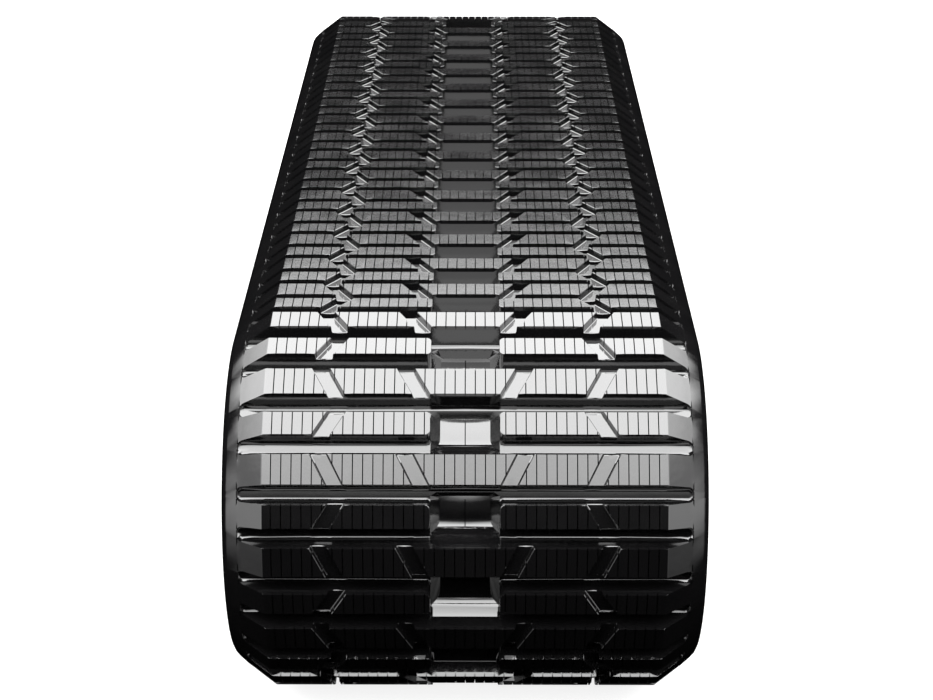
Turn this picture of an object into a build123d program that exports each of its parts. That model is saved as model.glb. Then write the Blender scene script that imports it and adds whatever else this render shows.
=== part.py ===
from build123d import *
import math
import os

# Endless rubber track, 450 mm wide with a 71 mm link pitch and 45 links, lying on its tread.
# Millimetres. X is across the belt, Y is the running direction, Z is up.
# The origin is on the ground under the middle of the loop.
# "s" is the distance along the cord line. It is 0 at the middle of the top run, grows towards
# the front (-Y), goes down around the front bend and comes back along the bottom.
# "h" is the height above the cord line, positive towards the tread.

# ---- driving dimensions -------------------------------------------------------------------
TRACK_WIDTH = 450.0
PITCH = 71.0
LINK_COUNT = 45
STRAIGHT_PITCHES = 15.5

STRAIGHT = STRAIGHT_PITCHES * PITCH
LOOP_LENGTH = LINK_COUNT * PITCH
ARC_LENGTH = LOOP_LENGTH / 2 - STRAIGHT
BEND_RADIUS = ARC_LENGTH / math.pi

# heights above the cord line
TREAD_TOP = 35.0
GROOVE_FLOOR = 13.0
EDGE_TOP = 4.0
COVER_TOP = -2.0
PLY_BOTTOM = -3.0
EDGE_BOTTOM = -6.0
INNER_FACE = -14.0
WING_BOTTOM = -11.0
BRIDGE_BOTTOM = -13.0
HORN_ROOT = -10.0
HORN_TIP = -44.0

# belt section, half widths
HALF_WIDTH = TRACK_WIDTH / 2
TREAD_HALF_WIDTH = 185.0
INNER_HALF_WIDTH = 215.0
PLY_HALF_WIDTH = 205.0

# tread bars: a full-width bar over each core, a split bar half a pitch further on
FULL_BAR_LENGTH = 28.5
SPLIT_BAR_LENGTH = 22.5
WALL_DRAFT_DEG = 6.0
SPLIT_GAP_HALF = 34.5
SPLIT_GAP_LENGTH = 32.0
SLOT_WIDTH = 14.0
SLOT_DEPTH = 7.0
SLOT_CUT_LENGTH = 38.0
FULL_BAR_SLOTS_X = (47.75, 126.5)
FULL_BAR_SLOT_ANGLE = -27.0
SPLIT_BAR_SLOT_X = 125.0
SPLIT_BAR_SLOT_ANGLE = 32.0

# sprocket windows, closed towards the ground by a thin web
WINDOW_WIDTH = 46.0
WINDOW_LENGTH = 26.0
WEB_BOTTOM = 2.0
WEB_TOP = 7.0
POCKET_TAPER_DEG = 20.0

# steel cords
CORD_DIAMETER = 3.6
CORD_SPACING = 9.5
CORDS_PER_SIDE = 14
FIRST_CORD_X = 66.0

# steel cores
WING_TIP_X = 192.0
WING_ROOT_LENGTH = 28.0
WING_TIP_LENGTH = 18.0
BRIDGE_WIDTH = 64.0
BRIDGE_LENGTH = 24.0
HORN_X = 42.0
HORN_BASE = (25.0, 32.0)
HORN_TAPER_DEG = 11.0

# hinge lines run across the groove floors; the rubber is relieved on both sides of each one
HINGE_FROM_BAR = (PITCH / 2 + FULL_BAR_LENGTH / 2 - SPLIT_BAR_LENGTH / 2) / 2
HINGES_PER_BEND = 7
HINGE_RELIEF_DEG = 4.8
HINGE_SLIT_HALF = 0.15
CORD_END_GAP = 0.35

CENTRE_HEIGHT = TREAD_TOP + BEND_RADIUS
TOOL_HALF_WIDTH = HALF_WIDTH + 10
ABOVE_TREAD = 10.0


# ---- the loop -----------------------------------------------------------------------------
def path_state(s):
    """Point of the cord line at s, and the angle that its outward normal leans from +Z to -Y."""
    s = (s + STRAIGHT / 2) % LOOP_LENGTH
    if s <= STRAIGHT:
        return STRAIGHT / 2 - s, CENTRE_HEIGHT + BEND_RADIUS, 0.0
    s -= STRAIGHT
    if s <= ARC_LENGTH:
        lean = s / BEND_RADIUS
        return (-STRAIGHT / 2 - BEND_RADIUS * math.sin(lean),
                CENTRE_HEIGHT + BEND_RADIUS * math.cos(lean), lean)
    s -= ARC_LENGTH
    if s <= STRAIGHT:
        return s - STRAIGHT / 2, TREAD_TOP, math.pi
    lean = math.pi + (s - STRAIGHT) / BEND_RADIUS
    return (STRAIGHT / 2 - BEND_RADIUS * math.sin(lean),
            CENTRE_HEIGHT + BEND_RADIUS * math.cos(lean), lean)


def local_plane(s):
    """Plane on the belt at s: its x is +X, its y points back along the run, its z is outward."""
    y, z, lean = path_state(s)
    return Plane(origin=(0, y, z), x_dir=(1, 0, 0), z_dir=(0, -math.sin(lean), math.cos(lean)))


def section_plane(s):
    """Plane across the belt at s: its x is +X and its y is outward."""
    y, z, lean = path_state(s)
    return Plane(origin=(0, y, z), x_dir=(1, 0, 0), z_dir=(0, -math.cos(lean), -math.sin(lean)))


def side_point(s, back, h):
    """(Y, Z) of a point of the side view, given in the rigid frame of the belt at s."""
    y, z, lean = path_state(s)
    return (y + back * math.cos(lean) - h * math.sin(lean),
            z + back * math.sin(lean) + h * math.cos(lean))


def spans(start, end):
    """Split start..end where the loop changes from straight to bend."""
    marks = []
    for lap in (-1, 0, 1):
        base = lap * LOOP_LENGTH
        marks += [base - STRAIGHT / 2, base + STRAIGHT / 2, base + STRAIGHT / 2 + ARC_LENGTH,
                  base + STRAIGHT * 1.5 + ARC_LENGTH]
    inside = sorted(mark for mark in marks if start < mark < end)
    points = [start] + inside + [end]
    return list(zip(points[:-1], points[1:]))


def follow_loop(section, start, end):
    """Solid of a belt section (a sketch in x and h) carried along the loop from start to end."""
    pieces = []
    for low, high in spans(start, end):
        face = section_plane(low) * section
        middle = path_state((low + high) / 2)
        lean_low = path_state(low + 0.001)[2]
        lean_high = path_state(high - 0.001)[2]
        if abs(lean_high - lean_low) < 1e-6:
            pieces.append(extrude(face, amount=high - low))
        else:
            centre_y = -STRAIGHT / 2 if middle[0] < 0 else STRAIGHT / 2
            axis = Axis((0, centre_y, CENTRE_HEIGHT), (1, 0, 0))
            turn = math.degrees((high - low) / BEND_RADIUS)
            pieces.append(revolve(face, axis=axis, revolution_arc=turn))
    solid = pieces[0]
    for piece in pieces[1:]:
        solid = solid + piece
    return solid


def across(points):
    """Prism right across the belt with a side-view outline of (Y, Z) points."""
    outline = Plane.YZ * Polygon(*points, align=None)
    return extrude(outline, amount=TOOL_HALF_WIDTH, both=True)


def positions(first_offset, start, end):
    """Places first_offset + n * PITCH that lie between start and end."""
    first = math.ceil((start - first_offset) / PITCH)
    last = math.floor((end - first_offset) / PITCH)
    return [first_offset + n * PITCH for n in range(first, last + 1)]


# ---- belt sections, in x and h ------------------------------------------------------------
def mirrored_outline(right_side):
    """Closed polygon from the points of its right side, listed from bottom to top."""
    left_side = [(-x, h) for x, h in reversed(right_side)]
    return Polygon(*right_side, *left_side, align=None)


def full_section():
    return mirrored_outline([(INNER_HALF_WIDTH, INNER_FACE), (HALF_WIDTH, EDGE_BOTTOM),
                             (HALF_WIDTH, EDGE_TOP), (TREAD_HALF_WIDTH, TREAD_TOP)])


def tread_section():
    return mirrored_outline([(HALF_WIDTH, COVER_TOP), (HALF_WIDTH, EDGE_TOP),
                             (TREAD_HALF_WIDTH, TREAD_TOP)])


def inner_cover_section():
    return mirrored_outline([(INNER_HALF_WIDTH, INNER_FACE), (HALF_WIDTH, EDGE_BOTTOM),
                             (HALF_WIDTH, COVER_TOP), (PLY_HALF_WIDTH, COVER_TOP),
                             (PLY_HALF_WIDTH, PLY_BOTTOM)])


def ply_section():
    return mirrored_outline([(PLY_HALF_WIDTH, PLY_BOTTOM), (PLY_HALF_WIDTH, COVER_TOP)])


# ---- tread pattern ------------------------------------------------------------------------
def wall_half_length(bar_length, h):
    """Half length of a bar at height h, with its drafted walls."""
    return bar_length / 2 + (TREAD_TOP - h) * math.tan(math.radians(WALL_DRAFT_DEG))


def groove(s_before, length_before, s_after, length_after):
    """Space between two neighbouring bars, whose walls keep their own bar's direction."""
    top = TREAD_TOP + ABOVE_TREAD
    return across([
        side_point(s_before, -wall_half_length(length_before, top), top),
        side_point(s_before, -wall_half_length(length_before, GROOVE_FLOOR), GROOVE_FLOOR),
        side_point(s_after, wall_half_length(length_after, GROOVE_FLOOR), GROOVE_FLOOR),
        side_point(s_after, wall_half_length(length_after, top), top),
    ])


def slot(s, x, angle):
    """Slanted slot in a bar's top, with its mirror image on the other half."""
    height = SLOT_DEPTH + ABOVE_TREAD
    lift = TREAD_TOP - SLOT_DEPTH + height / 2
    cut = Pos(x, 0, lift) * Rot(0, 0, angle) * Box(SLOT_WIDTH, SLOT_CUT_LENGTH, height)
    return [local_plane(s) * cut, local_plane(s) * mirror(cut, about=Plane.YZ)]


def centre_gap(s):
    """Gap between the halves of a split bar, down to the groove floor, and its pocket."""
    height = TREAD_TOP + ABOVE_TREAD - GROOVE_FLOOR
    gap = Pos(0, 0, GROOVE_FLOOR + height / 2) * Box(2 * SPLIT_GAP_HALF, SPLIT_GAP_LENGTH, height)
    floor = Pos(0, 0, WEB_TOP) * Rectangle(WINDOW_WIDTH, WINDOW_LENGTH)
    pocket = extrude(floor, amount=GROOVE_FLOOR - WEB_TOP + 1, taper=-POCKET_TAPER_DEG)
    return [local_plane(s) * gap, local_plane(s) * pocket]


def window(s):
    """Sprocket window, open to the inside of the loop."""
    height = WEB_BOTTOM - INNER_FACE + 5
    hole = Box(WINDOW_WIDTH, WINDOW_LENGTH, height)
    return local_plane(s) * Pos(0, 0, WEB_BOTTOM - height / 2) * hole


def tread_cuts(start, end):
    """Every groove, slot and centre gap that touches the belt from start to end."""
    cuts = []
    for s in positions(0, start - PITCH, end + PITCH):
        split = s + PITCH / 2
        cuts.append(groove(s, FULL_BAR_LENGTH, split, SPLIT_BAR_LENGTH))
        cuts.append(groove(split, SPLIT_BAR_LENGTH, s + PITCH, FULL_BAR_LENGTH))
    for s in positions(0, start, end):
        for x in FULL_BAR_SLOTS_X:
            cuts += slot(s, x, FULL_BAR_SLOT_ANGLE)
    for s in positions(PITCH / 2, start, end):
        cuts += slot(s, SPLIT_BAR_SLOT_X, SPLIT_BAR_SLOT_ANGLE)
        cuts += centre_gap(s)
    return cuts


def windows(start, end):
    return [window(s) for s in positions(PITCH / 2, start, end)]


def hinge_relief(s):
    """Slit and wedge-shaped relief at a hinge line, for the flex each way."""
    reach = TREAD_TOP
    wide = HINGE_SLIT_HALF + reach * math.tan(math.radians(HINGE_RELIEF_DEG))
    corners = [(-wide, -reach), (wide, -reach), (HINGE_SLIT_HALF, 0),
               (wide, reach), (-wide, reach), (-HINGE_SLIT_HALF, 0)]
    return across([side_point(s, back, h) for back, h in corners])


# ---- steel -------------------------------------------------------------------------------
def core_shape():
    """Forged core: two wings, the bridge that the sprocket drives, and two guide horns."""
    tip_half = WING_TIP_LENGTH / 2
    root_half = WING_ROOT_LENGTH / 2
    plan = Polygon((WING_TIP_X, -tip_half), (WING_TIP_X, tip_half), (HORN_X, root_half),
                   (-HORN_X, root_half), (-WING_TIP_X, tip_half), (-WING_TIP_X, -tip_half),
                   (-HORN_X, -root_half), (HORN_X, -root_half), align=None)
    plate = extrude(Pos(0, 0, WING_BOTTOM) * plan, amount=PLY_BOTTOM - WING_BOTTOM, dir=(0, 0, 1))
    bridge_height = PLY_BOTTOM - BRIDGE_BOTTOM
    bridge = Pos(0, 0, BRIDGE_BOTTOM + bridge_height / 2) * Box(BRIDGE_WIDTH, BRIDGE_LENGTH,
                                                                bridge_height)
    horns = []
    for x in (-HORN_X, HORN_X):
        base = Pos(x, 0, HORN_ROOT) * Rectangle(*HORN_BASE)
        horns.append(extrude(base, amount=HORN_ROOT - HORN_TIP, dir=(0, 0, -1),
                             taper=HORN_TAPER_DEG))
    return plate + bridge + horns


CORE = core_shape()


def cores(start, end):
    return [local_plane(s) * CORE for s in positions(0, start, end)]


def cord_positions(side):
    return [side * (FIRST_CORD_X + n * CORD_SPACING) for n in range(CORDS_PER_SIDE)]


def cords(start, end, sides):
    """Parallel cords on the cord line, one solid each."""
    one = follow_loop(Circle(CORD_DIAMETER / 2), start, end)
    return [Pos(x, 0, 0) * one for side in sides for x in cord_positions(side)]


# ---- belt segments ------------------------------------------------------------------------
def save(name, shapes):
    node = shapes[0] if len(shapes) == 1 else Compound(children=list(shapes))
    export_step(node, f"parts/{name}.step")


def write_cords(name, start, end, sides):
    save(name, cords(start + CORD_END_GAP, end - CORD_END_GAP, sides))


def cut_rubber(section, start, end, cuts):
    """Rubber of one segment. The cords are cured into it, so they have no tunnels here."""
    rubber = follow_loop(section, start, end)
    return rubber - cuts - [hinge_relief(start), hinge_relief(end)]


def build_run(name, start, end):
    """Long stiff part of the loop: tread, inner cover, ply, cores and both cord belts."""
    steel = cores(start, end)
    holes = windows(start, end)
    tread = cut_rubber(tread_section(), start, end, tread_cuts(start, end) + holes)
    inner = cut_rubber(inner_cover_section(), start, end, holes + steel)
    ply = cut_rubber(ply_section(), start, end, holes + steel)
    save(f"{name}_tread", tread.solids())
    save(f"{name}_inner_cover", inner.solids())
    save(f"{name}_ply", ply.solids())
    save(f"{name}_cores", steel)
    write_cords(f"{name}_cords_left", start, end, (-1,))
    write_cords(f"{name}_cords_right", start, end, (1,))


def build_link(name, start, end):
    """One pitch of the bend: rubber, core and cords."""
    steel = cores(start, end)
    cuts = tread_cuts(start, end) + windows(start, end) + steel
    rubber = cut_rubber(full_section(), start, end, cuts)
    save(f"{name}_rubber", rubber.solids())
    save(f"{name}_core", steel)
    write_cords(f"{name}_cords", start, end, (-1, 1))


def bend_hinges():
    """Hinge places of the front bend, from the bottom run up to the top run."""
    first_bar = math.ceil(STRAIGHT_PITCHES / 2)
    top_down = [(first_bar + n) * PITCH + HINGE_FROM_BAR for n in range(HINGES_PER_BEND)]
    return top_down[::-1]


def build_track():
    hinges = bend_hinges()
    top_end = hinges[-1]
    bottom_start = hinges[0]
    build_run("bottom_run", bottom_start, LOOP_LENGTH - bottom_start)
    build_run("top_front_run", HINGE_FROM_BAR, top_end)
    build_run("top_rear_run", -top_end, HINGE_FROM_BAR)
    for number, (end, start) in enumerate(zip(hinges[:-1], hinges[1:]), 1):
        build_link(f"front_link_{number}", start, end)
        build_link(f"rear_link_{number}", LOOP_LENGTH - end, LOOP_LENGTH - start)


os.makedirs("parts", exist_ok=True)
build_track()
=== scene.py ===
import bpy
import math
import numpy as np
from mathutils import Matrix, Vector
from mathutils.geometry import delaunay_2d_cdt


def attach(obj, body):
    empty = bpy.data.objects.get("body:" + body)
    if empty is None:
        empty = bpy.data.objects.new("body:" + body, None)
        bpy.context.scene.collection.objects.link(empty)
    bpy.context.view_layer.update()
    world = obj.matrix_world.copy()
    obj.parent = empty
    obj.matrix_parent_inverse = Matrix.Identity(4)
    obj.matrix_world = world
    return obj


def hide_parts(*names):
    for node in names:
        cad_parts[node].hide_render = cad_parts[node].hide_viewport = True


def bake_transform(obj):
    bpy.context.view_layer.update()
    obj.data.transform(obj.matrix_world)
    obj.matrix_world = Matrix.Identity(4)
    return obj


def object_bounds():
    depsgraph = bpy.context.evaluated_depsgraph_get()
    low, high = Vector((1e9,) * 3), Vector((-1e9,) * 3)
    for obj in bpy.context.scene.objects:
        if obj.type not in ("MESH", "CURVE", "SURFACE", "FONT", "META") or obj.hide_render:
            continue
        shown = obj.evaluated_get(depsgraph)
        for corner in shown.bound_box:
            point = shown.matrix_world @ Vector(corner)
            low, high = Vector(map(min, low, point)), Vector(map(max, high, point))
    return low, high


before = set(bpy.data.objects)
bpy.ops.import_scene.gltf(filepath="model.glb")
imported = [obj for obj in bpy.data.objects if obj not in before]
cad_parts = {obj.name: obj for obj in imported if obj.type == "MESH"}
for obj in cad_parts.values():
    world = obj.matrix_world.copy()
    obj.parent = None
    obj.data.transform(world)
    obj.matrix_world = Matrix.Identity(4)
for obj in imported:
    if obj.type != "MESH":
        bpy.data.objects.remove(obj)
cad_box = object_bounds()

# The rubber of the whole loop is built here from one pitch of the belt, drawn flat as a height
# map over x (across) and s (along the run), then wrapped round the loop. Sizes are millimetres
# until a mesh is made. h is the height above the cord line, as in the CAD model.

MM = 0.001
PITCH = 71.0
STRAIGHT = 15.5 * PITCH
LINKS = 45
LOOP = LINKS * PITCH
ARC = LOOP / 2 - STRAIGHT
RADIUS = ARC / math.pi
TREAD_TOP = 35.0
CENTRE_Z = TREAD_TOP + RADIUS

# one pitch, measured from the middle of a full-width bar
SPLIT_BAR = PITCH / 2
GROOVE_FROM_BAR = 19.25
GROOVES = (-GROOVE_FROM_BAR, GROOVE_FROM_BAR, PITCH - GROOVE_FROM_BAR)
# pieces end, or start to bend, this far from a groove's centre line
CUT_FROM_GROOVE = 2.7
CUTS = (-GROOVE_FROM_BAR + CUT_FROM_GROOVE, GROOVE_FROM_BAR - CUT_FROM_GROOVE,
        GROOVE_FROM_BAR + CUT_FROM_GROOVE, PITCH - GROOVE_FROM_BAR - CUT_FROM_GROOVE,
        PITCH - GROOVE_FROM_BAR + CUT_FROM_GROOVE)
# the belt's edges have points here, so that they follow the bends
SIDE_LINES = sorted(CUTS + (-8.3, 0.0, 8.3, 18.3, 20.2, 28.5, SPLIT_BAR, 42.5, 50.8, 52.7))
HALF_WIDTH = 225.0
MID_HEIGHT = -1.0

# distance from a groove's centre line, and the height of its floor, wall and rounded lip
GROOVE_PROFILE = ((0.0, 12.9), (CUT_FROM_GROOVE, 12.9), (3.9, 13.1), (4.5, 13.6), (4.8, 14.6),
                  (5.0, 34.3), (5.15, 34.8), (5.5, 35.0))
# which of those points is the foot of the wall
WALL_FOOT = 4
# a bar keeps its shape in the bends above these heights, and the web below follows the bend
STIFF_FROM = (13.0, 14.6)
# half width and height of the outside of the belt, over the shoulder to the edge
SHOULDER = ((184.2, 35.0), (185.0, 34.6), (198.0, 25.0), (210.0, 15.9), (219.5, 8.6),
            (223.0, 5.0), (HALF_WIDTH, 1.2))
# distance from a slot's centre line, and the height of its floor, wall and lip
SLOT_PROFILE = ((0.0, 28.0), (6.0, 28.0), (6.6, 28.5), (7.2, 34.4), (7.7, 35.3))
# a groove's centre line ends here, with a round tip about it
GROOVE_TIP_X = 205.0
TIP_LINES = (GROOVE_TIP_X, GROOVE_TIP_X + 3.95)
# gap between the halves of a split bar, and the rounding of its corners
GAP_HALF = 27.0
GAP_CORNER = 9.2
SIPE_SPACING = 9.3
SIPE_HALF = 0.5
SIPE_BOTTOM = 31.0
SIPES_PER_SIDE = 19
# places of the slots on full and split bars, and their slant as x per s
FULL_SLOTS = (47.75, 126.5)
FULL_SLOT_SLOPE = -14.5 / 28.5
SPLIT_SLOTS = (125.0,)
SPLIT_SLOT_SLOPE = 14.0 / 22.5
# a slot's floor falls from this far off the bar's middle
SLOT_MOUTH = 13.6
SPLIT_SLOT_MOUTH = SLOT_MOUTH - 3.0
SLOT_MOUTH_FALL = 1.1

# pocket over the closed window: half sizes of its floor, and how far its walls lean out
POCKET_FLOOR = 5.0
POCKET_DEPTH = 8.0
POCKET_DOME = 0.6
POCKET_X = 23.2
POCKET_S = 14.8
POCKET_WALL_X = 8.8
POCKET_WALL_S = 3.6
POCKET_CORNER = 45.0
POCKET_CORNER_SLOPE = 1.6
POCKET_CORNER_WALL = 11.0
PARTING_HALF = 0.45
PARTING_LENGTH = 12.0
PARTING_DEPTH = 1.1
# the pocket's other end curves up on to the foot of the next full bar
BANK_START = 5.2
BANK_RADIUS = 12.0
BANK_LEAN_DEG = (12.0, 24.0, 36.0, 48.0, 60.0)
BANK_X = (30.0, 32.2)
BANK_END = 21.3

# roller side: each size is a pair of the start and end of a slope
INNER_FACE = -14.0
# half width and height of the inside of the belt, round its edge
INNER_EDGE = ((206.0, INNER_FACE), (216.0, -11.6), (222.0, -7.2), (HALF_WIDTH, -3.0))
WINDOW_FLOOR = -2.4
WINDOW_X = (21.5, 24.5)
WINDOW_S = (11.5, 14.0)
COLLAR_X = (22.0, 25.0, 58.0, 61.0)
COLLAR_S = (15.5, 18.5)
COLLAR_RISE = 3.0
FLEX_GROOVE_X = (66.0, 70.0, 198.0, 202.0)
FLEX_GROOVE_S = (2.2, 5.6)
FLEX_GROOVE_DEPTH = 3.0
EDGE_MARGIN = 1.0

# how finely the curves in the plan are drawn, and where its lines run
OPEN_AIR = 99.0
LIP_END_X = 186.0
RIM_X = (186.5, 190.0, 194.0, 198.0, 201.5, GROOVE_TIP_X)
TIP_STEPS = 7
RIM_ROUNDS = 12
GAP_STEPS = 5
SLOT_LINE_STOP = 3.0
SLOT_FOOT_HEIGHT = 26.0
SLOT_LINE_REACH = 10.0
SIPE_RIM = 0.2
DOME_X = (5.0, 10.0, 15.0, 19.0)
DOME_S = (-9.5, -5.0, 0.0)
ON_LINE = 0.01
PLAN_TOLERANCE = 0.002
WELD_PER_METRE = 1e6
SHARP_DEG = 30.0


# ---- height maps --------------------------------------------------------------------------
def along(table, value):
    """Straight-line interpolation in a table of (position, height) pairs."""
    if value <= table[0][0]:
        return table[0][1]
    for (p0, h0), (p1, h1) in zip(table, table[1:]):
        if value <= p1:
            return h0 + (h1 - h0) * (value - p0) / (p1 - p0)
    return table[-1][1]


def groove_distance(x, s):
    """Distance in plan from the nearest groove centre line, or from the gap at the middle."""
    beyond = max(abs(x) - GROOVE_TIP_X, 0.0)
    nearest = min(math.hypot(beyond, s - centre) for centre in GROOVES)
    if not GROOVES[1] < s < GROOVES[2]:
        return nearest
    from_gap = max(abs(x) - GAP_HALF, 0.0)
    if from_gap < GAP_CORNER and nearest < GAP_CORNER:
        return GAP_CORNER - math.hypot(GAP_CORNER - from_gap, GAP_CORNER - nearest)
    return min(nearest, from_gap)


def slot_height(x, s):
    """Floor and walls of the slanted slots, or a large height away from them."""
    if abs(s) < GROOVE_FROM_BAR:
        centre, places, slope = 0.0, FULL_SLOTS, FULL_SLOT_SLOPE
        mouth = SLOT_MOUTH
    else:
        centre, places, slope = SPLIT_BAR, SPLIT_SLOTS, SPLIT_SLOT_SLOPE
        mouth = SPLIT_SLOT_MOUTH
    squeeze = 1 / math.hypot(1, slope)
    away = min(abs(abs(x) - place - (s - centre) * slope) for place in places) * squeeze
    if away > SLOT_PROFILE[-1][0]:
        return OPEN_AIR
    fall = max(abs(s - centre) - mouth, 0.0) * SLOT_MOUTH_FALL
    return along(SLOT_PROFILE, away) - fall * max(0.0, 1 - away / SLOT_PROFILE[-1][0])


def sipe_height(x, s):
    number = round(x / SIPE_SPACING)
    if abs(number) > SIPES_PER_SIDE:
        return OPEN_AIR
    away = abs(x - number * SIPE_SPACING)
    if away > SIPE_HALF:
        return OPEN_AIR
    return SIPE_BOTTOM + (TREAD_TOP + SIPE_RIM - SIPE_BOTTOM) * away / SIPE_HALF


def bank_rise(ahead):
    """How far the bank has risen above the pocket's floor, past the split bar's middle."""
    lean = math.radians(BANK_LEAN_DEG[-1])
    run = ahead - BANK_START
    if run <= 0:
        return 0.0
    if run < BANK_RADIUS * math.sin(lean):
        return BANK_RADIUS - math.sqrt(BANK_RADIUS ** 2 - run ** 2)
    return BANK_RADIUS * (1 - math.cos(lean)) + (run - BANK_RADIUS * math.sin(lean)) * math.tan(lean)


def pocket_height(x, s):
    x = abs(x)
    ahead = s - SPLIT_BAR
    climb = max((x - POCKET_X) / POCKET_WALL_X, bank_rise(ahead) / POCKET_DEPTH,
                (-ahead - POCKET_S) / POCKET_WALL_S,
                (x - ahead * POCKET_CORNER_SLOPE - POCKET_CORNER) / POCKET_CORNER_WALL, 0.0)
    if climb >= 1:
        return OPEN_AIR
    dome = max(0.0, 1 - (x / POCKET_X) ** 2) * max(0.0, 1 - (ahead / POCKET_S) ** 2)
    height = POCKET_FLOOR + POCKET_DEPTH * climb + POCKET_DOME * dome
    if x < PARTING_HALF and abs(ahead) < PARTING_LENGTH:
        height -= PARTING_DEPTH * (1 - x / PARTING_HALF)
    return height


def ramp(low, high, value):
    return min(max((value - low) / (high - low), 0.0), 1.0)


def bank_height(x, s):
    """The part of the bank that stands above the groove's floor."""
    ahead = s - SPLIT_BAR if s > 0 else s - SPLIT_BAR + PITCH
    rise = bank_rise(min(ahead, BANK_END))
    if rise < POCKET_DEPTH:
        return 0.0
    return (POCKET_FLOOR + rise) * (1 - ramp(*BANK_X, abs(x)))


def outer_height(x, s):
    ground = max(along(GROOVE_PROFILE, groove_distance(x, s)), bank_height(x, s))
    return min(along(SHOULDER, abs(x)), ground, slot_height(x, s), sipe_height(x, s),
               pocket_height(x, s))


def inner_height(x, s):
    x = abs(x)
    from_split = abs(s - SPLIT_BAR)
    from_full = min(abs(s), abs(s - PITCH))
    height = along(INNER_EDGE, x)
    window = (1 - ramp(*WINDOW_X, x)) * (1 - ramp(*WINDOW_S, from_split))
    height += (WINDOW_FLOOR - INNER_FACE) * window
    collar = ramp(*COLLAR_X[:2], x) * (1 - ramp(*COLLAR_X[2:], x)) * (1 - ramp(*COLLAR_S, from_full))
    height -= COLLAR_RISE * collar
    flex = ramp(*FLEX_GROOVE_X[:2], x) * (1 - ramp(*FLEX_GROOVE_X[2:], x))
    height += FLEX_GROOVE_DEPTH * flex * (1 - ramp(*FLEX_GROOVE_S, from_split))
    return height


# ---- plan of one pitch --------------------------------------------------------------------
class Plan:
    """Lines in the (x, s) plane that the triangles have to follow."""

    def __init__(self):
        self.points = []
        self.edges = []

    def line(self, *points):
        start = len(self.points)
        self.points += [Vector(p) for p in points]
        self.edges += [(start + n, start + n + 1) for n in range(len(points) - 1)]

    def both_sides(self, *points):
        self.line(*points)
        self.line(*[(-x, s) for x, s in points])

    def triangles(self, height):
        """(x, s, h) points and triangles, counter-clockwise in the plan."""
        found = delaunay_2d_cdt(self.points, self.edges, [], 0, PLAN_TOLERANCE)
        points = np.array([(p.x, p.y, height(p.x, p.y)) for p in found[0]])
        return points, np.array([f for f in found[2]])


def frame_lines(plan, inner_x):
    """Edges of the tile, and the lines across it where pieces may end or bend."""
    low, high = CUTS[0], CUTS[-1]
    plan.line((-HALF_WIDTH, low), (HALF_WIDTH, low))
    plan.line((-HALF_WIDTH, high), (HALF_WIDTH, high))
    for s in SIDE_LINES:
        if s in CUTS:
            plan.line((-HALF_WIDTH, s), (HALF_WIDTH, s))
        else:
            plan.both_sides((inner_x, s), (HALF_WIDTH, s))
    for s0, s1 in zip(SIDE_LINES, SIDE_LINES[1:]):
        plan.both_sides((HALF_WIDTH, s0), (HALF_WIDTH, s1))


def wall_distance(height):
    """Distance from a groove's centre line at which its wall reaches a height."""
    (d0, h0), (d1, h1) = GROOVE_PROFILE[WALL_FOOT:WALL_FOOT + 2]
    return d0 + (d1 - d0) * (height - h0) / (h1 - h0)


def groove_lines(plan):
    low, high = CUTS[0], CUTS[-1]
    for centre in GROOVES:
        for side in (-1, 1):
            for distance, _ in GROOVE_PROFILE[1:]:
                s = centre + side * distance
                if not low < s < high:
                    continue
                if distance > GROOVE_PROFILE[WALL_FOOT][0]:
                    plan.line((-LIP_END_X, s), (LIP_END_X, s))
                    continue
                tip = [(GROOVE_TIP_X + distance * math.sin(a * math.pi / 2 / TIP_STEPS),
                        centre + side * distance * math.cos(a * math.pi / 2 / TIP_STEPS))
                       for a in range(TIP_STEPS + 1)]
                plan.both_sides((0, s), *[p for p in tip if low < p[1] < high])
            # where the groove's wall comes out through the shoulder
            rim = []
            for x in RIM_X:
                rim.append((x, centre + side * wall_distance(along(SHOULDER, x))))
            for step in range(1, TIP_STEPS + 1):
                angle = step * math.pi / 2 / TIP_STEPS
                reach = GROOVE_PROFILE[WALL_FOOT][0]
                for _ in range(RIM_ROUNDS):
                    reach = wall_distance(along(SHOULDER, GROOVE_TIP_X + reach * math.sin(angle)))
                rim.append((GROOVE_TIP_X + reach * math.sin(angle),
                            centre + side * reach * math.cos(angle)))
            inside = [p for p in rim if low <= p[1] <= high]
            if len(inside) > 1:
                plan.both_sides(*inside)


def gap_lines(plan):
    """Walls of the gap between the halves of a split bar, with rounded corners."""
    corner_x = GAP_HALF + GAP_CORNER
    corner_s = SPLIT_BAR - GROOVES[1] - GAP_CORNER
    for distance, _ in GROOVE_PROFILE[1:]:
        radius = GAP_CORNER - distance
        outline = []
        for step in range(GAP_STEPS + 1):
            angle = step * math.pi / 2 / GAP_STEPS
            outline.append((corner_x - radius * math.sin(angle),
                            corner_s + radius * math.cos(angle)))
        mirrored = [(x, -s) for x, s in reversed(outline)]
        plan.both_sides(*[(x, SPLIT_BAR + s) for x, s in outline + mirrored])


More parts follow.
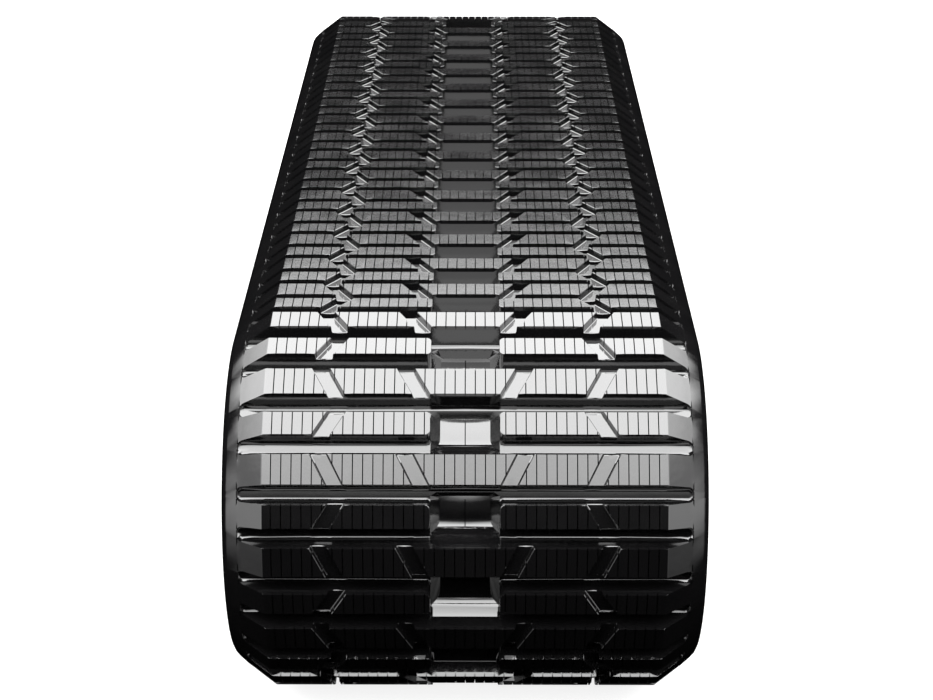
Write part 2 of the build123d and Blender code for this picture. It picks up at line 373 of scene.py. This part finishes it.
def slot_lines(plan):
    reach = wall_distance(SLOT_FOOT_HEIGHT)
    for centre, places, slope, half in ((0.0, FULL_SLOTS, FULL_SLOT_SLOPE, GROOVE_FROM_BAR),
                                        (SPLIT_BAR, SPLIT_SLOTS, SPLIT_SLOT_SLOPE,
                                         SPLIT_BAR - GROOVE_FROM_BAR)):
        stretch = math.hypot(1, slope)
        end = half - SLOT_LINE_STOP
        mouth = SLOT_MOUTH if centre == 0.0 else SPLIT_SLOT_MOUTH
        for place in places:
            for offset in [o for o, _ in SLOT_PROFILE]:
                for side in (-1, 1):
                    x = place + side * offset * stretch
                    plan.both_sides((x - end * slope, centre - end), (x + end * slope, centre + end))
            for s in (-mouth, mouth, -half + reach, half - reach):
                x = place + s * slope
                plan.both_sides((x - SLOT_LINE_REACH, centre + s), (x + SLOT_LINE_REACH, centre + s))


def sipe_lines(plan):
    bottom = wall_distance(SIPE_BOTTOM)
    top = GROOVE_PROFILE[-1][0]
    for centre, half in ((0.0, GROOVE_FROM_BAR), (SPLIT_BAR, SPLIT_BAR - GROOVE_FROM_BAR)):
        for number in range(-SIPES_PER_SIDE, SIPES_PER_SIDE + 1):
            x = number * SIPE_SPACING
            if centre and abs(x) < GAP_HALF + top + EDGE_MARGIN:
                continue
            ends = [(x, centre - half + bottom), (x, centre + half - bottom)]
            plan.line(*ends)
            for side in (-SIPE_HALF, SIPE_HALF):
                plan.line(ends[0], (x + side, centre - half + top), (x + side, centre + half - top),
                          ends[1])


def pocket_lines(plan):
    outlines = []
    for climb in (0.0, 1.0):
        x = POCKET_X + climb * POCKET_WALL_X
        s = POCKET_S + climb * POCKET_WALL_S
        corner = POCKET_CORNER + climb * POCKET_CORNER_WALL
        outlines.append([(x, -(corner - x) / POCKET_CORNER_SLOPE),
                         (corner - s * POCKET_CORNER_SLOPE, -s)])
    for floor_point, rim_point in zip(*outlines):
        plan.both_sides((floor_point[0], SPLIT_BAR + floor_point[1]),
                        (rim_point[0], SPLIT_BAR + rim_point[1]))
    # steps up the curved bank, between the leaning side walls
    edge = [(POCKET_X, BANK_START)]
    for lean in BANK_LEAN_DEG:
        angle = math.radians(lean)
        rise = BANK_RADIUS * (1 - math.cos(angle))
        edge.append((POCKET_X + POCKET_WALL_X * rise / POCKET_DEPTH,
                     BANK_START + BANK_RADIUS * math.sin(angle)))
    bank_foot = edge[-1][1] + (POCKET_DEPTH - rise) / math.tan(angle)
    edge.append((POCKET_X + POCKET_WALL_X, bank_foot))
    for x, s in edge:
        plan.line((-x, SPLIT_BAR + s), (x, SPLIT_BAR + s))
    plan.both_sides(*[(x, SPLIT_BAR + s) for x, s in edge])
    for (side, end), stop in zip(outlines, (edge[0], edge[-1])):
        ring = [stop, side, end, (0.0, end[1])]
        plan.both_sides(*[(x, SPLIT_BAR + s) for x, s in ring])
    for x in BANK_X:
        plan.both_sides((x, SPLIT_BAR + bank_foot), (x, CUTS[-1]))
        plan.both_sides((x, CUTS[0]), (x, SPLIT_BAR + BANK_END - PITCH))
    for x in DOME_X:
        plan.both_sides((x, SPLIT_BAR - POCKET_S), (x, SPLIT_BAR + BANK_START))
    for s in DOME_S:
        plan.line((-POCKET_X, SPLIT_BAR + s), (POCKET_X, SPLIT_BAR + s))
    for x in (-PARTING_HALF, 0.0, PARTING_HALF):
        plan.line((x, SPLIT_BAR - PARTING_LENGTH), (x, SPLIT_BAR + PARTING_LENGTH))


def outer_tile():
    plan = Plan()
    frame_lines(plan, SHOULDER[2][0])
    for x in [x for x, _ in SHOULDER[:-1]] + list(TIP_LINES):
        plan.both_sides((x, CUTS[0]), (x, CUTS[-1]))
    for s in SIDE_LINES:
        if CUTS[1] < s < CUTS[2] or s > CUTS[3]:
            plan.line((-HALF_WIDTH, s), (HALF_WIDTH, s))
    groove_lines(plan)
    gap_lines(plan)
    slot_lines(plan)
    sipe_lines(plan)
    pocket_lines(plan)
    return plan.triangles(outer_height)


def inner_tile():
    plan = Plan()
    frame_lines(plan, 0.0)
    low, high = CUTS[0], CUTS[-1]
    for x, _ in INNER_EDGE[:-1]:
        plan.both_sides((x, low), (x, high))
    for x in COLLAR_X + FLEX_GROOVE_X + WINDOW_X:
        plan.both_sides((x, low), (x, high))
    lines = [SPLIT_BAR + side * s for s in WINDOW_S + FLEX_GROOVE_S for side in (-1, 1)]
    lines += [side * s for s in COLLAR_S for side in (-1, 1)]
    lines += [PITCH - s for s in COLLAR_S]
    for s in lines:
        if low < s < high:
            plan.line((-HALF_WIDTH + EDGE_MARGIN, s), (HALF_WIDTH - EDGE_MARGIN, s))
    return plan.triangles(inner_height)


def flat_tile():
    """The plane where the tread and the inner cover meet, as plain strips."""
    points = []
    faces = []
    for s in SIDE_LINES:
        points += [(-HALF_WIDTH, s, MID_HEIGHT), (HALF_WIDTH, s, MID_HEIGHT)]
    for n in range(len(SIDE_LINES) - 1):
        a = 2 * n
        faces += [(a, a + 1, a + 3), (a, a + 3, a + 2)]
    return np.array(points), np.array(faces)


# ---- wrapping round the loop --------------------------------------------------------------
def path_state(s):
    """y, z and lean of the cord line, for an array of s."""
    s = np.mod(s + STRAIGHT / 2, LOOP)
    on_front = (s > STRAIGHT) & (s <= STRAIGHT + ARC)
    on_bottom = (s > STRAIGHT + ARC) & (s <= 2 * STRAIGHT + ARC)
    on_rear = s > 2 * STRAIGHT + ARC
    lean = np.zeros_like(s)
    lean = np.where(on_front, (s - STRAIGHT) / RADIUS, lean)
    lean = np.where(on_bottom, math.pi, lean)
    lean = np.where(on_rear, math.pi + (s - 2 * STRAIGHT - ARC) / RADIUS, lean)
    y = STRAIGHT / 2 - s
    y = np.where(on_front, -STRAIGHT / 2 - RADIUS * np.sin(lean), y)
    y = np.where(on_bottom, s - STRAIGHT - ARC - STRAIGHT / 2, y)
    y = np.where(on_rear, STRAIGHT / 2 - RADIUS * np.sin(lean), y)
    z = CENTRE_Z + RADIUS * np.cos(lean)
    return y, z, lean


def wrap(points, tile):
    """Place tile points (x, s, h) on the loop, in metres. Bars keep their shape in the bends."""
    x, s, h = points[:, 0], points[:, 1], points[:, 2]
    y0, z0, lean = path_state(s + tile * PITCH)
    soft = np.stack([y0 - h * np.sin(lean), z0 + h * np.cos(lean)], axis=1)
    bar = np.where(s < GROOVES[1], 0.0, SPLIT_BAR)
    bar = np.where(s > GROOVES[2], PITCH, bar)
    y1, z1, lean = path_state(bar + tile * PITCH)
    ahead = s - bar
    stiff = np.stack([y1 - ahead * np.cos(lean) - h * np.sin(lean),
                      z1 - ahead * np.sin(lean) + h * np.cos(lean)], axis=1)
    share = np.clip((h - STIFF_FROM[0]) / (STIFF_FROM[1] - STIFF_FROM[0]), 0.0, 1.0)[:, None]
    return np.column_stack([x, soft + (stiff - soft) * share]) * MM


def band_of(points, faces):
    """Which of the four bands between the cut lines each triangle is in."""
    middle = points[faces][:, :, 1].mean(axis=1)
    return np.searchsorted(CUTS, middle) - 1


class Shell:
    """Collects triangles and caps of one rubber piece, then makes a closed mesh of them."""

    def __init__(self):
        self.points = []
        self.faces = []
        self.flat = []
        self.known = {}

    def add(self, tile, surface, band, flip):
        points, faces, bands = surface
        placed = wrap(points, tile)
        for face in faces[bands == band]:
            corners = []
            for index in face:
                corners.append(self.point(placed[index], points[index]))
            if len(set(corners)) == 3:
                self.faces.append(corners[::-1] if flip else corners)

    def point(self, place, flat):
        key = tuple(round(value * WELD_PER_METRE) for value in place)
        if key not in self.known:
            self.known[key] = len(self.points)
            self.points.append(tuple(place))
            self.flat.append(tuple(flat))
        return self.known[key]


def rim_points(surface, s):
    """Indices of a tile surface's points on one cut line, from left to right."""
    points = surface[0]
    on_line = np.where(np.abs(points[:, 1] - s) < ON_LINE)[0]
    return on_line[np.argsort(points[on_line, 0])]


def close_side(shell, tile, band, height, flip):
    """Wall at the belt's edge between the outer or inner surface and the middle plane."""
    low, high = CUTS[band], CUTS[band + 1]
    lines = [s for s in SIDE_LINES if low - ON_LINE <= s <= high + ON_LINE]
    for x in (-HALF_WIDTH, HALF_WIDTH):
        edge_height = height(x, 0.0)
        for s0, s1 in zip(lines, lines[1:]):
            corners = np.array([(x, s0, edge_height), (x, s1, edge_height),
                                (x, s1, MID_HEIGHT), (x, s0, MID_HEIGHT)])
            placed = wrap(corners, tile)
            face = [shell.point(p, c) for p, c in zip(placed, corners)]
            shell.faces.append(face if (x > 0) == flip else face[::-1])


def close_end(shell, tile, surface, s, at_start, flip):
    """Cap across the belt at the first or last cut line of a piece."""
    points = surface[0]
    rim = points[rim_points(surface, s)]
    plane = np.array([(HALF_WIDTH, s, MID_HEIGHT), (-HALF_WIDTH, s, MID_HEIGHT)])
    corners = np.vstack([rim, plane])
    placed = wrap(corners, tile)
    face = [shell.point(p, c) for p, c in zip(placed, corners)]
    shell.faces.append(face if at_start != flip else face[::-1])


def rubber_mesh(name, bands, surface, height, outward):
    """Closed mesh of consecutive bands. bands holds (tile, band) pairs in running order."""
    shell = Shell()
    for tile, band in bands:
        shell.add(tile, surface, band, outward)
        shell.add(tile, MIDDLE, band, not outward)
        close_side(shell, tile, band, height, outward)
    first_tile, first_band = bands[0]
    last_tile, last_band = bands[-1]
    close_end(shell, first_tile, surface, CUTS[first_band], True, outward)
    close_end(shell, last_tile, surface, CUTS[last_band + 1], False, outward)
    mesh = bpy.data.meshes.new(name)
    mesh.from_pydata(shell.points, [], shell.faces)
    mesh.validate()
    grain = mesh.attributes.new("grain", "FLOAT", "POINT")
    grain.data.foreach_set("value", [grain_amount(*p) for p in shell.flat])
    mesh.polygons.foreach_set("use_smooth", [True] * len(mesh.polygons))
    mesh.set_sharp_from_angle(angle=math.radians(SHARP_DEG))
    mesh.update()
    piece = bpy.data.objects.new(name, mesh)
    bpy.context.scene.collection.objects.link(piece)
    level = piece.modifiers.new("flat_faces_stay_flat", "WEIGHTED_NORMAL")
    level.keep_sharp = True
    return piece


GRAIN_END_X = 184.5
GRAIN_TOP_FROM = TREAD_TOP - 1.5
GRAIN_POCKET_BELOW = 9.0
GRAIN_TOP = 1.0
GRAIN_GROOVE = 0.45
GRAIN_POCKET = 0.05
GRAIN_SHOULDER = 0.0


def grain_amount(x, s, h):
    """How much moulded grain the rubber has: most on bar tops, none on the shoulders."""
    if abs(x) > GRAIN_END_X:
        return GRAIN_SHOULDER
    if h > GRAIN_TOP_FROM:
        return GRAIN_TOP
    if h < GRAIN_POCKET_BELOW:
        return GRAIN_POCKET
    return GRAIN_GROOVE


# ---- materials ----------------------------------------------------------------------------
# noise scales are repeats per metre, bump distances are metres
PATCH_SCALE = 22.0
WAVE_SCALE = 60.0
FLECK_SCALE = 420.0
FINE_SCALE = 1300.0
WAVE_DEPTH = 0.0004
FLECK_DEPTH = 0.0002
FINE_DEPTH = 0.0001
WAVE_STRENGTH = 0.12
GRAIN_STRENGTH = 0.14
GRAIN_ROUGHNESS = 0.008
PATCH_ROUGHNESS = (-0.02, 0.04)
RUBBER_IOR = 2.0
SCALE_PATCHES = 45.0
PIT_SCALE = 520.0
PIT_DEPTH = 0.0004
LAY_SCALE = 260.0
YARN_SCALE = 160.0


def node_material(name):
    material = bpy.data.materials.new(name)
    material.use_nodes = True
    nodes = material.node_tree.nodes
    return material, nodes, material.node_tree.links, nodes["Principled BSDF"]


def noise(nodes, links, coords, scale, detail=3.0, roughness=0.55):
    texture = nodes.new("ShaderNodeTexNoise")
    texture.inputs["Scale"].default_value = scale
    texture.inputs["Detail"].default_value = detail
    texture.inputs["Roughness"].default_value = roughness
    links.new(coords, texture.inputs["Vector"])
    return texture.outputs["Fac"]


def remap(nodes, links, value, low, high, from_low=0.3, from_high=0.7):
    node = nodes.new("ShaderNodeMapRange")
    links.new(value, node.inputs["Value"])
    node.inputs["From Min"].default_value = from_low
    node.inputs["From Max"].default_value = from_high
    node.inputs["To Min"].default_value = low
    node.inputs["To Max"].default_value = high
    return node.outputs["Result"]


def math_node(nodes, links, operation, a, b):
    node = nodes.new("ShaderNodeMath")
    node.operation = operation
    for socket, value in zip(node.inputs, (a, b)):
        if isinstance(value, (int, float)):
            socket.default_value = value
        else:
            links.new(value, socket)
    return node.outputs["Value"]


def bump(nodes, links, height, distance, strength, below=None):
    node = nodes.new("ShaderNodeBump")
    node.inputs["Distance"].default_value = distance
    if isinstance(strength, (int, float)):
        node.inputs["Strength"].default_value = strength
    else:
        links.new(strength, node.inputs["Strength"])
    links.new(height, node.inputs["Height"])
    if below is not None:
        links.new(below, node.inputs["Normal"])
    return node.outputs["Normal"]


def colour_mix(nodes, links, factor, dark, light):
    node = nodes.new("ShaderNodeMix")
    node.data_type = "RGBA"
    links.new(factor, node.inputs["Factor"])
    node.inputs["A"].default_value = (*dark, 1.0)
    node.inputs["B"].default_value = (*light, 1.0)
    return node.outputs["Result"]


def rubber_material(name, dark, light, roughness):
    """Black moulded rubber: fine grain on the bar tops, and slow waves everywhere."""
    material, nodes, links, shader = node_material(name)
    coords = nodes.new("ShaderNodeTexCoord").outputs["Object"]
    grain = nodes.new("ShaderNodeAttribute")
    grain.attribute_name = "grain"
    patches = noise(nodes, links, coords, PATCH_SCALE)
    fine = noise(nodes, links, coords, FINE_SCALE, 2.0)
    flecks = noise(nodes, links, coords, FLECK_SCALE, 4.0, 0.7)
    links.new(colour_mix(nodes, links, patches, dark, light), shader.inputs["Base Color"])
    base_rough = remap(nodes, links, patches, roughness + PATCH_ROUGHNESS[0],
                       roughness + PATCH_ROUGHNESS[1])
    extra = math_node(nodes, links, "MULTIPLY", grain.outputs["Fac"], GRAIN_ROUGHNESS)
    links.new(math_node(nodes, links, "ADD", base_rough, extra), shader.inputs["Roughness"])
    shader.inputs["IOR"].default_value = RUBBER_IOR
    amount = math_node(nodes, links, "MULTIPLY", grain.outputs["Fac"], GRAIN_STRENGTH)
    waves = bump(nodes, links, noise(nodes, links, coords, WAVE_SCALE, 2.0), WAVE_DEPTH,
                 WAVE_STRENGTH)
    mottle = bump(nodes, links, flecks, FLECK_DEPTH, amount, waves)
    surface = bump(nodes, links, fine, FINE_DEPTH, amount, mottle)
    links.new(surface, shader.inputs["Normal"])
    return material


def core_material():
    """Forged steel with mill scale, brighter where it has been rubbed."""
    material, nodes, links, shader = node_material("forged_core_steel")
    coords = nodes.new("ShaderNodeTexCoord").outputs["Object"]
    patches = noise(nodes, links, coords, SCALE_PATCHES, 5.0, 0.65)
    pits = noise(nodes, links, coords, PIT_SCALE, 4.0, 0.6)
    links.new(colour_mix(nodes, links, remap(nodes, links, patches, 0.0, 1.0, 0.4, 0.62),
                         (0.035, 0.033, 0.034), (0.15, 0.135, 0.12)), shader.inputs["Base Color"])
    shader.inputs["Metallic"].default_value = 0.85
    links.new(remap(nodes, links, patches, 0.42, 0.66), shader.inputs["Roughness"])
    links.new(bump(nodes, links, pits, PIT_DEPTH, 0.5), shader.inputs["Normal"])
    return material


def cord_material():
    """Brass-coated steel cord with the lay of its strands."""
    material, nodes, links, shader = node_material("brass_coated_cord")
    coords = nodes.new("ShaderNodeTexCoord").outputs["Object"]
    lay = nodes.new("ShaderNodeTexWave")
    lay.bands_direction = "DIAGONAL"
    lay.inputs["Scale"].default_value = LAY_SCALE
    links.new(coords, lay.inputs["Vector"])
    links.new(colour_mix(nodes, links, lay.outputs["Fac"], (0.25, 0.17, 0.07), (0.72, 0.55, 0.3)),
              shader.inputs["Base Color"])
    shader.inputs["Metallic"].default_value = 1.0
    shader.inputs["Roughness"].default_value = 0.34
    links.new(bump(nodes, links, lay.outputs["Fac"], 0.0005, 0.8), shader.inputs["Normal"])
    return material


def ply_material():
    """Rubber-dipped woven ply."""
    material, nodes, links, shader = node_material("dipped_ply_weave")
    coords = nodes.new("ShaderNodeTexCoord").outputs["Object"]
    weave = []
    for direction in ("X", "Y"):
        yarn = nodes.new("ShaderNodeTexWave")
        yarn.bands_direction = direction
        yarn.inputs["Scale"].default_value = YARN_SCALE
        links.new(coords, yarn.inputs["Vector"])
        weave.append(yarn.outputs["Fac"])
    cloth = math_node(nodes, links, "MULTIPLY", weave[0], weave[1])
    links.new(colour_mix(nodes, links, cloth, (0.03, 0.026, 0.02), (0.16, 0.13, 0.09)),
              shader.inputs["Base Color"])
    shader.inputs["Roughness"].default_value = 0.82
    links.new(bump(nodes, links, cloth, 0.0006, 0.9), shader.inputs["Normal"])
    return material


TREAD_RUBBER = rubber_material("tread_rubber", (0.0026, 0.0026, 0.0028), (0.0042, 0.004, 0.0042),
                               0.085)
INNER_RUBBER = rubber_material("inner_rubber", (0.007, 0.007, 0.0073), (0.01, 0.0098, 0.01), 0.42)


# ---- rubber pieces ------------------------------------------------------------------------
def with_bands(surface):
    points, faces = surface
    return points, faces, band_of(points, faces)


OUTER = with_bands(outer_tile())
INNER = with_bands(inner_tile())
MIDDLE = with_bands(flat_tile())

FULL_BAR, AFTER_FULL, SPLIT, AFTER_SPLIT = range(4)
OPEN_END = (LINKS, AFTER_FULL)
OPEN_GAP = 0.3
CORE_EDGE = 1.6 * MM
CORE_EDGE_DEG = 35.0
FIRST_BEND_BAR = 8
HINGES_PER_BEND = 7
BEND_BODIES = [f"link_{n}" for n in range(HINGES_PER_BEND - 1, 0, -1)]


def running_order():
    """Bodies from the open pivot in the top run, forwards round the loop."""
    front = ["top_front_run"] + [f"front_{b}" for b in BEND_BODIES]
    rear = [f"rear_{b}" for b in reversed(BEND_BODIES)] + ["top_rear_run"]
    return front + ["bottom_run"] + rear


def hinge_bands():
    """(tile, band) of each strip that bends at a hinge, in running order."""
    front = [(FIRST_BEND_BAR + n, AFTER_FULL) for n in range(HINGES_PER_BEND)]
    rear = [(LINKS - 1 - tile, AFTER_SPLIT) for tile, _ in reversed(front)]
    return front + rear


def loop_bands():
    """Every (tile, band) once, from the split bar after the open pivot."""
    order = [(tile, band) for tile in range(LINKS + 1) for band in range(4)]
    start = order.index((0, SPLIT))
    return order[start:start + 4 * LINKS]


def finish_rubber(piece, material, nodes):
    piece.data.materials.append(material)
    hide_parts(*nodes)


def open_pivot_gap(piece):
    """Draw the end face at the open pivot back a little, so that the run clears its neighbour."""
    end_y = (OPEN_GAP - CUTS[OPEN_END[1] + 1]) * MM
    for vertex in piece.data.vertices:
        if vertex.co.z > CENTRE_Z * MM and vertex.co.y < end_y:
            vertex.co.y = end_y


def body_rubber(body, bands):
    is_link = body + "_rubber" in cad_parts
    outer_nodes = [body + "_rubber"] if is_link else [body + "_tread"]
    inner_nodes = [body + "_rubber"] if is_link else [body + "_inner_cover"]
    tread = rubber_mesh(body + "_tread_block", bands, OUTER, outer_height, True)
    finish_rubber(tread, TREAD_RUBBER, outer_nodes)
    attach(tread, body)
    inner = rubber_mesh(body + "_roller_side", bands, INNER, inner_height, False)
    finish_rubber(inner, INNER_RUBBER, inner_nodes)
    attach(inner, body)
    if bands[-1] == OPEN_END:
        open_pivot_gap(tread)
        open_pivot_gap(inner)


def flex_rubber(number, band):
    """Groove floor that bends between two bodies."""
    for kind, surface, height, outward, material in (
            ("tread", OUTER, outer_height, True, TREAD_RUBBER),
            ("roller_side", INNER, inner_height, False, INNER_RUBBER)):
        strip = rubber_mesh(f"flex_{number:02d}_{kind}", [band], surface, height, outward)
        strip.data.materials.append(material)
        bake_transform(strip)


def build_rubber():
    bodies = running_order()
    hinges = hinge_bands()
    current = []
    index = 0
    for band in loop_bands():
        tile = (band[0] % LINKS, band[1])
        if tile in hinges:
            body_rubber(bodies[index], current)
            flex_rubber(index + 1, band)
            index += 1
            current = []
        else:
            current.append(band)
    body_rubber(bodies[index], current)


build_rubber()


# ---- CAD nodes that stay ------------------------------------------------------------------
def dress_cad_nodes():
    core = core_material()
    cord = cord_material()
    ply = ply_material()
    for name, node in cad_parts.items():
        if name.endswith("_core") or name.endswith("_cores"):
            material = core
            soften = node.modifiers.new("forged_edges", "BEVEL")
            soften.width = CORE_EDGE
            soften.segments = 2
            soften.limit_method = "ANGLE"
            soften.angle_limit = math.radians(CORE_EDGE_DEG)
        elif "_cords" in name:
            material = cord
        elif name.endswith("_ply"):
            material = ply
        else:
            continue
        node.data.materials.clear()
        node.data.materials.append(material)


dress_cad_nodes()


# ---- stage, light and camera --------------------------------------------------------------
FLOOR_SIZE = 30.0
FLOOR_SHADE = 0.25
FLOOR_GLOW = 0.85
CEILING_LIGHT = 8.6
SIDE_WALL_LIGHT = 1.9
BACKGROUND = 1.0

WHITE = (1.0, 1.0, 1.0, 1.0)
HORIZON = 0.02

# how bright the ceiling is, by direction: the slope along the belt (y/z) and across it (x/z)
CEILING_ALONG = ((-6.0, 0.0), (-2.6, 0.01), (-2.0, 0.1), (-1.25, 0.56), (-0.47, 0.95), (0.0, 1.0),
                 (0.54, 1.02), (1.41, 0.75), (2.44, 0.43), (2.54, 0.34), (2.64, 0.08), (2.74, 0.034),
                 (2.9, 0.015), (3.2, 0.007), (6.0, 0.003))
CEILING_ACROSS = ((0.0, 1.0), (1.2, 1.0), (1.95, 0.7), (2.6, 0.52), (4.0, 0.36), (5.6, 0.1),
                  (9.0, 0.01))
# where the ceiling stops towards the back and the sides (y, x/z)
DARK_BACK = (0.02, 0.2)
DARK_SIDES = (2.0, 3.2)
# where the pale side walls are: x, then y and z, each with a soft edge
WALL_SIDE = (0.6, 0.85)
WALL_FRONT = (-0.1, 0.1)
WALL_FOOT_Z = (-0.42, -0.02)
WALL_TOP_Z = (0.1, 0.25)

CAMERA_AHEAD = 1.8914
CAMERA_ABOVE = 0.9636
CAMERA_RIGHT = 0.0074
CAMERA_PITCH = 23.26
CAMERA_TURN = 0.2
LENS = 81.9
SENSOR = 36.0
CLIP_START = 0.05


def make_floor():
    mesh = bpy.data.meshes.new("studio_floor")
    half = FLOOR_SIZE / 2
    mesh.from_pydata([(-half, -half, 0), (half, -half, 0), (half, half, 0), (-half, half, 0)], [],
                     [(0, 1, 2, 3)])
    floor = bpy.data.objects.new("studio_floor", mesh)
    bpy.context.scene.collection.objects.link(floor)
    material, nodes, links, shader = node_material("pale_floor")
    shader.inputs["Base Color"].default_value = (FLOOR_SHADE, FLOOR_SHADE, FLOOR_SHADE, 1.0)
    shader.inputs["Roughness"].default_value = 0.9
    shader.inputs["Specular IOR Level"].default_value = 0.0
    shader.inputs["Emission Color"].default_value = WHITE
    shader.inputs["Emission Strength"].default_value = FLOOR_GLOW
    mesh.materials.append(material)
    floor.visible_glossy = False
    floor.visible_diffuse = False


def curve(nodes, links, value, points):
    """Smooth curve through (value, result) points."""
    low, high = points[0][0], points[-1][0]
    scaled = remap(nodes, links, value, 0.0, 1.0, low, high)
    node = nodes.new("ShaderNodeFloatCurve")
    node.mapping.use_clip = False
    line = node.mapping.curves[0]
    places = [((at - low) / (high - low), result) for at, result in points]
    line.points[0].location = places[0]
    line.points[1].location = places[-1]
    for place in places[1:-1]:
        line.points.new(*place)
    for point in line.points:
        point.handle_type = "VECTOR"
    node.mapping.update()
    links.new(scaled, node.inputs["Value"])
    return node.outputs["Value"]


def make_world():
    """A very large soft ceiling over a dark room with pale side walls."""
    world = bpy.data.worlds.new("studio")
    bpy.context.scene.world = world
    world.use_nodes = True
    nodes = world.node_tree.nodes
    links = world.node_tree.links
    nodes.clear()
    split = nodes.new("ShaderNodeSeparateXYZ")
    links.new(nodes.new("ShaderNodeTexCoord").outputs["Generated"], split.inputs["Vector"])
    x, y, z = split.outputs
    height = math_node(nodes, links, "MAXIMUM", z, HORIZON)
    sideways = math_node(nodes, links, "ABSOLUTE", x, 0.0)
    along_slope = math_node(nodes, links, "DIVIDE", y, height)
    across_slope = math_node(nodes, links, "DIVIDE", sideways, height)
    ceiling = math_node(nodes, links, "MULTIPLY", curve(nodes, links, along_slope, CEILING_ALONG),
                        curve(nodes, links, across_slope, CEILING_ACROSS))
    above = math_node(nodes, links, "GREATER_THAN", z, HORIZON)
    ceiling = math_node(nodes, links, "MULTIPLY", ceiling, above)
    dark = math_node(nodes, links, "MULTIPLY", remap(nodes, links, y, 0.0, 1.0, *DARK_BACK),
                     remap(nodes, links, across_slope, 0.0, 1.0, *DARK_SIDES))
    ceiling = math_node(nodes, links, "MULTIPLY", ceiling,
                        math_node(nodes, links, "SUBTRACT", 1.0, dark))
    ceiling = math_node(nodes, links, "MULTIPLY", ceiling, CEILING_LIGHT)
    wall = math_node(nodes, links, "MULTIPLY", remap(nodes, links, sideways, 0.0, 1.0, *WALL_SIDE),
                     remap(nodes, links, z, 0.0, SIDE_WALL_LIGHT, *WALL_FOOT_Z))
    for value, edge in ((z, WALL_TOP_Z), (y, WALL_FRONT)):
        wall = math_node(nodes, links, "MULTIPLY", wall, remap(nodes, links, value, 1.0, 0.0, *edge))
    softbox = nodes.new("ShaderNodeBackground")
    links.new(math_node(nodes, links, "MAXIMUM", ceiling, wall), softbox.inputs["Strength"])
    backdrop = nodes.new("ShaderNodeBackground")
    backdrop.inputs["Strength"].default_value = BACKGROUND
    backdrop.inputs["Color"].default_value = WHITE
    rays = nodes.new("ShaderNodeLightPath")
    mix = nodes.new("ShaderNodeMixShader")
    links.new(rays.outputs["Is Camera Ray"], mix.inputs["Fac"])
    links.new(softbox.outputs["Background"], mix.inputs[1])
    links.new(backdrop.outputs["Background"], mix.inputs[2])
    output = nodes.new("ShaderNodeOutputWorld")
    links.new(mix.outputs["Shader"], output.inputs["Surface"])


def make_camera():
    """Camera in front of the front bend and above it, looking down at the loop."""
    low, high = cad_box
    bend_y = low[1] + (high[2] - low[2]) / 2
    bend_z = (low[2] + high[2]) / 2
    data = bpy.data.cameras.new("camera")
    data.sensor_width = SENSOR
    data.lens = LENS
    data.clip_start = CLIP_START
    camera = bpy.data.objects.new("camera", data)
    bpy.context.scene.collection.objects.link(camera)
    camera.location = (CAMERA_RIGHT, bend_y - CAMERA_AHEAD, bend_z + CAMERA_ABOVE)
    camera.rotation_euler = (math.radians(90 - CAMERA_PITCH), 0.0, math.radians(CAMERA_TURN))
    bpy.context.scene.camera = camera


make_floor()
make_world()
make_camera()
bpy.context.scene.view_settings.view_transform = "Standard"
